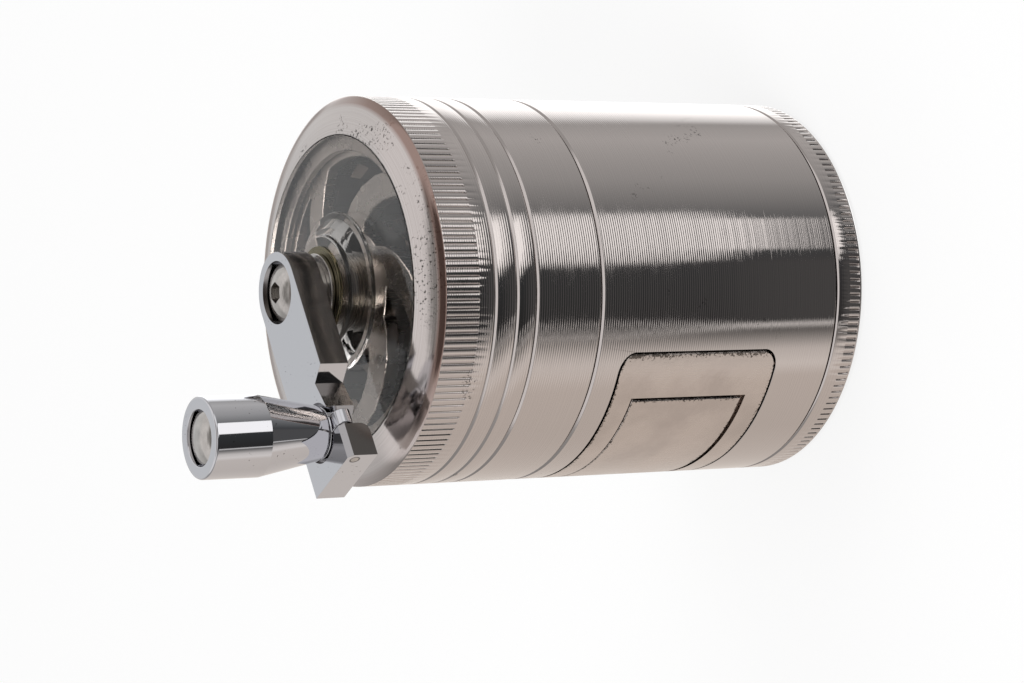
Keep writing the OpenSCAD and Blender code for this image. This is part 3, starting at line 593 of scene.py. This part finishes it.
class GRINDER_OT_drawer(Piece, bpy.types.Operator):
    """Finishes the drawer: its tray, the pull plate in its front and the sieve in its floor"""
    bl_idname = "grinder.drawer"
    bl_label = "Drawer"

    def execute(self, context):
        sizes, finish = self.settings(context)
        for node, name, share in (("drawer_tray", "drawer_nickel", 1.0),
                                  ("drawer_pull_plate", "pull_plate_nickel", 0.8)):
            front = eased(node, sizes.cast_round * share, sizes.drum_radius)
            # The front's edges get grime and painted shade in specks
            satin = satin_nickel(name, finish.satin, front=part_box(node))
            place(front, "drawer", satin, node)
        frame_ring = eased("sieve_frame", FINE_EDGE)
        place(frame_ring, "drawer", bright_steel(finish), "sieve_frame")
        woven = satin_nickel("woven_steel", "#C2C2C0", grain=0.3, rough=(0.25, 0.4))
        repaint("sieve_screen", woven)
        return {"FINISHED"}


class GRINDER_OT_chamber(Piece, bpy.types.Operator):
    """Finishes the grinding chamber with its fixed teeth, its magnet and its glide ring"""
    bl_idname = "grinder.chamber"
    bl_label = "Grinding chamber"

    def execute(self, context):
        sizes, finish = self.settings(context)
        chamber = eased("grinding_chamber", sizes.edge_round * WALL_EDGE, sizes.drum_radius)
        # Within this radius the chamber is painted darker, as shade inside it
        nickel = turned_nickel(finish, sizes, "chamber_nickel", shade_radius=0.0285)
        place(chamber, "chamber", nickel, "grinding_chamber")
        magnet = eased("chamber_magnet", SOFT_EDGE)
        place(magnet, "chamber", magnet_nickel(), "chamber_magnet")
        glide = eased("glide_ring", SOFT_EDGE)
        place(glide, "chamber", milky_nylon(finish), "glide_ring")
        return {"FINISHED"}


class GRINDER_OT_lid(Piece, bpy.types.Operator):
    """Turns the knurled lid with its two grooves and its rim, and finishes the window's retainer"""
    bl_idname = "grinder.lid"
    bl_label = "Lid"

    def execute(self, context):
        sizes, finish = self.settings(context)
        r, low, top = sizes.drum_radius / MM, sizes.lid_low / MM, sizes.lid_top / MM
        chamfer, edge = sizes.seam_chamfer / MM, sizes.edge_round / MM
        groove, deep, lower, upper = 0.33, 0.36, low + 3.48, low + 7.38
        knurl_low, knurl_high, run_in, run_out = low + 10.38, low + 15.98, 0.12, 0.1
        # Radii of the neck's bore, the window's seat and the rim's hole, and the heights between
        bore, seat, hole, step, rim = 29.0, 28.2, 25.3, top - 5.4, top - 1.9
        # The rim slopes down from the window and ends in a crown, an arc down to the drum's wall
        slope, crown, start = sizes.rim_slope, sizes.crown_radius / MM, r - sizes.crown_width / MM
        centre = np.array([start - crown * math.sin(slope),
                           top - (start - hole) * math.tan(slope) - crown * math.cos(slope)])
        turn = np.linspace(math.acos((r - centre[0]) / crown), math.pi / 2 - slope, 9)
        arc = centre + crown * np.stack([np.cos(turn), np.sin(turn)], 1)
        outline = rounded(
            [(bore, low), (r - chamfer, low), (r, low + chamfer),
             (r, lower - groove), (r - deep, lower), (r, lower + groove),
             (r, upper - groove), (r - deep, upper), (r, upper + groove),
             (r, knurl_low - run_in), (r, knurl_low), (r, knurl_high), (r, knurl_high + run_out),
             *arc, (hole, top), (hole, rim), (seat, rim), (seat, step), (bore, step)],
            [edge, edge, edge, edge, 0.12, edge, edge, 0.12, edge, 0, 0, 0, 0, *[0.02] * len(arc),
             0.18, 0, 0, edge, edge], 2)
        ring = turned("lid_ring_piece", outline, **knurl(outline, knurl_low, knurl_high, sizes))
        place(ring, "lid", turned_nickel(finish, sizes), "lid_ring")
        retainer = eased("window_retainer", SOFT_EDGE)
        place(retainer, "lid", cast_zinc(finish), "window_retainer")
        return {"FINISHED"}


class GRINDER_OT_window(Piece, bpy.types.Operator):
    """Turns the clear window with its boss, and the brass bush in it"""
    bl_idname = "grinder.window"
    bl_label = "Window"

    def execute(self, context):
        sizes, finish = self.settings(context)
        # The hole is 0.05 mm tighter than the bush, so that the bush shows through the boss as it
        # does where acrylic and brass touch, with no mirror of air between them
        top, hole, flange, plate = sizes.lid_top / MM, 5.15, 28.1, 25.2
        back, step, boss = top - 4, top - 1.92, top + 2.9
        outline = rounded(
            [(hole, back), (flange, back), (flange, step), (plate, step), (plate, top),
             (12.9, top), (12.75, top + 0.5), (11.8, top + 0.62), (10.3, top + 1.6),
             (9.2, top + 2.1), (9.0, boss), (hole, boss)],
            [0.05, 0.2, 0.1, 0.05, 0.15, 0.12, 0.3, 0.5, 0.5, 0.4, 0.35, 0.05], 6)
        window = turned("lid_window_piece", outline, 240)
        place(window, "lid", clear_acrylic(finish), "lid_window")
        low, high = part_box("window_bush")[0].z / MM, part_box("window_bush")[1].z / MM
        barrel, flange, under = 5.2, 7.4, high - 0.6
        outline = rounded(
            [(SPINDLE_BORE, low), (barrel, low), (barrel, under), (flange, under), (flange, high),
             (SPINDLE_BORE, high)],
            [0.08, 0.15, 0.02, 0.1, 0.15, 0.1])
        bush = turned("window_bush_piece", outline, 160)
        # Below this height the bush is painted dark, as shade in the window's hole
        seated = (high - 0.55) * MM
        brass = bright_metal("dull_brass", finish.brass, rough=(0.2, 0.34), seated=seated)
        place(bush, "lid", brass, "window_bush")
        return {"FINISHED"}


class GRINDER_OT_crank(Piece, bpy.types.Operator):
    """Finishes the crank: its arm, screw, spacer, washer, spindle and the fold pin"""
    bl_idname = "grinder.crank"
    bl_label = "Crank"

    def execute(self, context):
        sizes, finish = self.settings(context)
        steel = bright_steel(finish)
        for node, outer in (("thrust_washer", 6.2), ("hub_spacer", 4.9)):
            low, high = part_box(node)[0].z / MM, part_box(node)[1].z / MM
            outline = rounded(
                [(SPINDLE_BORE, low), (outer, low), (outer, high), (SPINDLE_BORE, high)], 0.12)
            place(turned(node + "_piece", outline, 160), "crank", steel, node)
        knob, pin = (sum(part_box(node), Vector()) / 2 for node in ("knob", "fold_pin"))
        # The arm's flanks are painted darker, as shade
        chrome = polished_chrome(finish, "arm_chrome", knob.xy.normalized(), pin)
        arm = eased("crank_arm", sizes.cast_round * 3)
        place(arm, "crank", chrome, "crank_arm")
        for node, edge in (("crank_screw", HEAD_EDGE), ("crank_spindle", FINE_EDGE),
                           ("fold_pin", FINE_EDGE)):
            place(eased(node, edge), "crank", steel, node)
        return {"FINISHED"}


class GRINDER_OT_rotor(Piece, bpy.types.Operator):
    """Finishes the bladed rotor, with the magnet, washer and screw in its hub"""
    bl_idname = "grinder.rotor"
    bl_label = "Rotor"

    def execute(self, context):
        sizes, finish = self.settings(context)
        rotor = eased("rotor", sizes.cast_round * 1.2)
        place(rotor, "crank", cast_zinc(finish), "rotor")
        magnet = eased("rotor_magnet", SOFT_EDGE)
        place(magnet, "crank", magnet_nickel(), "rotor_magnet")
        for node, edge in (("rotor_washer", 0.0001), ("rotor_screw", FINE_EDGE)):
            place(eased(node, edge), "crank", bright_steel(finish), node)
        return {"FINISHED"}


class GRINDER_OT_knob(Piece, bpy.types.Operator):
    """Turns the knob and its axle, and finishes the block that they fold on"""
    bl_idname = "grinder.knob"
    bl_label = "Knob"

    def execute(self, context):
        sizes, finish = self.settings(context)
        low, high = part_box("knob")
        centre = ((low.x + high.x) / 2 / MM, (low.y + high.y) / 2 / MM)
        outer, low, high = (high.x - low.x) / 2 / MM, low.z / MM, high.z / MM
        bore, foot, waist, recess, floor = 1.56, 4.3, low + 10.8, 4.35, high - 2.1
        outline = rounded(
            [(bore, low), (foot, low), (outer, waist), (outer, high), (recess, high),
             (recess, floor), (bore, floor)], [0.1, 0.35, 0.5, 0.4, 0.2, 0.15, 0.1], 6)
        chrome = polished_chrome(finish)
        place(turned("knob_piece", outline, 240, centre), "knob", chrome, "knob")
        # The axle is a stem with a head that ends in a dome, part of a sphere
        first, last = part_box("knob_axle")
        tail, crown, head = first.z / MM, last.z / MM, (last.x - first.x) / 2 / MM
        stem, under, chamfer, rise = 1.5, high - 2.0, 0.1, 0.9
        sphere = (head ** 2 + rise ** 2) / (2 * rise)
        r = np.linspace(head, 0, 14)
        dome = np.stack([r, crown - sphere + np.sqrt(sphere ** 2 - r ** 2)], 1)
        shaft = np.array([(0, tail), (stem - chamfer, tail), (stem, tail + chamfer), (stem, under),
                          (head - chamfer, under), (head, under + chamfer)])
        axle = turned("knob_axle_piece", np.concatenate([shaft, dome]), 160, centre)
        steel = bright_metal("bright_steel_axle", finish.steel, centre, (0.05, 0.14))
        place(axle, "knob_block", steel, "knob_axle")
        block = eased("fold_block", HEAD_EDGE)
        place(block, "knob_block", chrome, "fold_block")
        return {"FINISHED"}


def aimed(spot, look, up=(0, 1, 0.01)):
    """Placement at a spot in metres, facing along -Z towards the look direction."""
    across = np.cross(up, -look)
    across /= np.linalg.norm(across)
    axes = np.eye(4)
    axes[:3, 0], axes[:3, 1], axes[:3, 2] = across, np.cross(-look, across), -look
    axes[:3, 3] = spot
    return Matrix(axes.tolist())


class GRINDER_OT_stage(Piece, bpy.types.Operator):
    """Sets the pale floor, the light tent, the lamps and the camera"""
    bl_idname = "grinder.stage"
    bl_label = "Stage"
    # Light of the tent's brightest card. The ramps and cards hold shares of it, because a ramp's
    # colours end at 1
    brightest = 1.7

    def execute(self, context):
        self.floor()
        self.lamps()
        self.world(context.scene)
        self.camera(context.scene)
        context.scene.view_settings.view_transform = "Standard"
        return {"FINISHED"}

    def floor(self):
        """Pale floor: near white to the eye, with the shadow kept. Mirrors see the light tent."""
        side = 3000.0
        corners = np.array([(-side, -side, 0), (side, -side, 0), (side, side, 0), (-side, side, 0)])
        floor = surface("floor", corners, np.array([[0, 1, 2, 3]]))
        material, tree = started("floor_paper")
        if tree:
            where = add(tree, "TexCoord").outputs["Object"]
            # Paper tooth, about 0.8 mm
            tooth = add(tree, "TexNoise", Vector=where, Scale=1200.0, Detail=2.0)
            bump = add(tree, "Bump", Height=tooth, Strength=0.1, Distance=0.00005)
            paper = add(tree, "BsdfDiffuse", Color=(0.9, 0.9, 0.9, 1), Normal=bump)
            white = add(tree, "Emission", Color=(1, 1, 1, 1), Strength=1.0)
            seen = add(tree, "LightPath").outputs["Is Camera Ray"]
            share = add(tree, "Math", TIMES, i0=seen, i1=0.8)
            mixed = add(tree, "MixShader", i0=share, i1=paper, i2=white)
            add(tree, "OutputMaterial", Surface=mixed)
        floor.data.materials.append(material)
        floor.visible_glossy = False

    def lamps(self):
        """Three soft boxes for the floor and the shadow."""
        for name, spot, watts, side in (("key_lamp", (0.5, -0.9, 1.0), 9.0, 0.7),
                                        ("fill_lamp", (0.3, 0.9, 0.8), 5.0, 0.9),
                                        ("top_lamp", (-0.2, 0.0, 1.4), 8.0, 1.0)):
            data = bpy.data.lights.new(name, "AREA")
            data.energy, data.size = watts, side
            lamp = bpy.data.objects.new(name, data)
            lamp.matrix_world = aimed(np.array(spot), -np.array(spot) / np.linalg.norm(spot))
            lamp.visible_glossy = False
            bpy.context.scene.collection.objects.link(lamp)

    def world(self, scene):
        """The light tent, by direction from the drum: pale cards, a bright strip, a soft box with
        two dark cards overhead and a dark side round the camera. The camera itself sees white, and
        what scatters light gets an even, soft one."""
        world = bpy.data.worlds.new("light_tent")
        world.use_nodes = True
        tree = world.node_tree
        tree.nodes.clear()
        # East is towards the camera, and up is up
        direction = add(tree, "Mapping", Vector=add(tree, "TexCoord").outputs["Generated"],
                        Rotation=(0, 0, math.radians(26)))
        split = add(tree, "SeparateXYZ", Vector=direction)
        east, height = split.outputs[0], split.outputs[2]
        # The direction round the drum, in turns, with 0.5 towards the camera
        turn = add(tree, "Math", {"operation": "ARCTAN2"}, i0=split.outputs[1], i1=east)
        side = add(tree, "Math", TIMES_PLUS, i0=turn, i1=0.5 / math.pi, i2=0.5)
        # The cards below the drum's top lean a little with height
        lean = add(tree, "Math", TIMES_PLUS, i0=height, i1=30 / 360, i2=15 / 360)
        lean = add(tree, "Math", PLUS, i0=lean, i1=side)
        low = self.cards(tree, lean, (
            (-180, 0.78, 0.08), (-100, 0.68, 0.09), (-60, 0.72, 0.09), (-52, 0.88, 0.06),
            (-42, 0.74, 0.06), (-34, 0.34, 0.05), (-28.5, 0.12, 0.03), (-27, 0.75, 0.02),
            (-25.5, 0.75, 0.02), (-24.5, 0.03, 0.0), (12, 0.042, -0.08), (18, 0.07, -0.05),
            (44, 0.20, -0.02), (54, 0.30, 0.0), (68, 0.42, 0.01), (102, 0.58, 0.02),
            (113, 0.52, 0.02), (120, 0.46, 0.02), (125, 0.90, 0.0), (136, 1.6, 0.0),
            (170, 1.7, 0.0), (180, 0.85, 0.02)))
        high = self.cards(tree, side, (
            (-180, 0.69, -0.02), (-165, 0.72, 0.0), (-130, 0.34, 0.01), (-75, 0.42, 0.02),
            (-48, 0.50, 0.02), (-34, 0.10, 0.02), (30, 0.10, 0.02), (38, 0.95, 0.0),
            (60, 0.95, 0.0), (72, 0.40, 0.02), (120, 0.50, 0.02), (150, 0.80, 0.0),
            (165, 0.82, 0.0), (180, 0.69, -0.02)))
        # The dark side round the camera gets lighter towards the floor
        low = self.card(tree, low, (0.056, 0.0555, 0.056), (height, -0.60, -0.53),
                        (lean, 0.4325, 0.4315), (lean, 0.533, 0.555))
        # Upright strip of light, 19 degrees wide low down and 30 at the top, above the floor
        near = add(tree, "Math", PLUS, i0=lean, i1=-30.5 / 360 - 0.5)
        near = add(tree, "Math", {"operation": "ABSOLUTE"}, i0=near)
        half = add(tree, "MapRange", i0=height, i1=-0.56, i2=-0.53, i3=9.5 / 360, i4=15 / 360)
        near = add(tree, "Math", {"operation": "SUBTRACT"}, i0=near, i1=half)
        low = self.card(tree, low, (0.80, 0.79, 0.785), (near, -0.5 / 360, 1 / 360),
                        (height, -0.578, -0.586))
        # Floor in the shadow of the drum, far from the camera
        low = self.card(tree, low, (0.05, 0.047, 0.045), (height, -0.80, -0.72),
                        (east, -0.35, -0.2))
        above = add(tree, "MapRange", i0=height, i1=-0.1, i2=0.1)
        tent = add(tree, "Mix", RGBA, i0=above, i6=low, i7=high).outputs[2]
        # Ceiling: a soft box, with a grey card behind the crank and a darker one over the camera
        tent = self.card(tree, tent, (0.53, 0.52, 0.52), (height, 0.62, 0.56))
        tent = self.card(tree, tent, (0.17, 0.165, 0.16), (height, 0.90, 0.84),
                         (east, -0.30, -0.12))
        tent = self.card(tree, tent, (0.10, 0.085, 0.080), (height, 0.93, 0.89),
                         (east, -0.12, -0.20), (east, 0.25, 0.32))
        # Dark gap at the horizon, past the drum
        tent = self.card(tree, tent, (0.26, 0.245, 0.24), (height, -0.02, 0.12),
                         (height, -0.15, -0.25), (east, -0.96, -0.92))
        path = add(tree, "LightPath")
        white = (1, 1, 1, 1)
        seen = add(tree, "Background", Color=white, Strength=0.28)
        for ray, light, strength in (("Is Glossy Ray", tent, self.brightest),
                                     ("Is Transmission Ray", tent, 1.0),
                                     ("Is Camera Ray", white, 1.0)):
            shown = add(tree, "Background", Color=light, Strength=strength)
            seen = add(tree, "MixShader", i0=path.outputs[ray], i1=seen, i2=shown)
        add(tree, "OutputWorld", Surface=seen)
        scene.world = world

    def card(self, tree, under, light, *edges):
        """Lays a card over the tent: each edge is a value with the number where the card is full
        and the number where it ends."""
        share = None
        for value, full, gone in edges:
            part = add(tree, "MapRange", i0=value, i1=gone, i2=full)
            share = part if share is None else add(tree, "Math", TIMES, i0=share, i1=part)
        return add(tree, "Mix", RGBA, i0=share, i6=under, i7=(*light, 1)).outputs[2]

    def cards(self, tree, side, stops):
        """Ring of cards: each stop is a direction in degrees, its light and its warmth."""
        whole = add(tree, "Math", {"operation": "FRACT"}, i0=side)
        ramp = add(tree, "ValToRGB", Fac=whole)
        elements = ramp.color_ramp.elements
        while len(elements) < len(stops):
            elements.new(0.5)
        for element, (direction, light, warm) in zip(elements, stops):
            element.position = direction / 360 + 0.5
            share = light / self.brightest
            element.color = (share, share * (1 - warm), share * (1 - 1.8 * warm), 1)
        return ramp

    def camera(self, scene):
        """Camera at the photograph's place. Its axes come from yaw, pitch and roll, the picture is
        turned a quarter, so the drum's axis lies across it, and all of it is turned about the
        drum's axis."""
        yaw, pitch, roll, turn = -0.0198709, 0.5374122, -0.0235356, math.radians(64)
        look = np.array([math.sin(yaw) * math.cos(pitch), math.cos(yaw) * math.cos(pitch),
                         -math.sin(pitch)])
        right = np.cross(look, (0, 0, 1))
        right /= np.linalg.norm(right)
        up = np.cross(right, look)
        level = math.cos(roll) * right + math.sin(roll) * up
        about = np.array([[math.cos(turn), -math.sin(turn), 0],
                          [math.sin(turn), math.cos(turn), 0], [0, 0, 1]])
        data = bpy.data.cameras.new("camera")
        data.lens, data.sensor_width, data.clip_start = 106.84, 36.0, 0.01
        camera = bpy.data.objects.new("camera", data)
        camera.matrix_world = aimed((0.39071, -0.19057, 0.30863), about @ look, about @ level)
        scene.collection.objects.link(camera)
        scene.camera = camera


PIECES = (GRINDER_OT_base_cap, GRINDER_OT_housing, GRINDER_OT_drawer, GRINDER_OT_chamber,
          GRINDER_OT_lid, GRINDER_OT_window, GRINDER_OT_crank, GRINDER_OT_rotor, GRINDER_OT_knob,
          GRINDER_OT_stage)


class GRINDER_PT_panel(bpy.types.Panel):
    """Lists the pieces with their sizes and colours"""
    bl_idname = "GRINDER_PT_panel"
    bl_label = "Spice grinder"
    bl_space_type = "VIEW_3D"
    bl_region_type = "UI"
    bl_category = "Grinder"

    def draw(self, context):
        for piece in PIECES:
            self.layout.operator(piece.bl_idname)
        for group in (context.scene.grinder_sizes, context.scene.grinder_finish):
            for name in group.bl_rna.properties.keys():
                if name not in ("rna_type", "name"):
                    self.layout.prop(group, name)


CLASSES = (GrinderSizes, GrinderFinish) + PIECES + (GRINDER_PT_panel,)


def register():
    for kind in CLASSES:
        bpy.utils.register_class(kind)
    bpy.types.Scene.grinder_sizes = bpy.props.PointerProperty(type=GrinderSizes)
    bpy.types.Scene.grinder_finish = bpy.props.PointerProperty(type=GrinderFinish)


def unregister():
    del bpy.types.Scene.grinder_finish, bpy.types.Scene.grinder_sizes
    for kind in reversed(CLASSES):
        bpy.utils.unregister_class(kind)


def main():
    register()
    bpy.ops.grinder.base_cap()
    bpy.ops.grinder.housing()
    bpy.ops.grinder.drawer()
    bpy.ops.grinder.chamber()
    bpy.ops.grinder.lid()
    bpy.ops.grinder.window()
    bpy.ops.grinder.crank()
    bpy.ops.grinder.rotor()
    bpy.ops.grinder.knob()
    bpy.ops.grinder.stage()


if __name__ == "__main__":
    main()
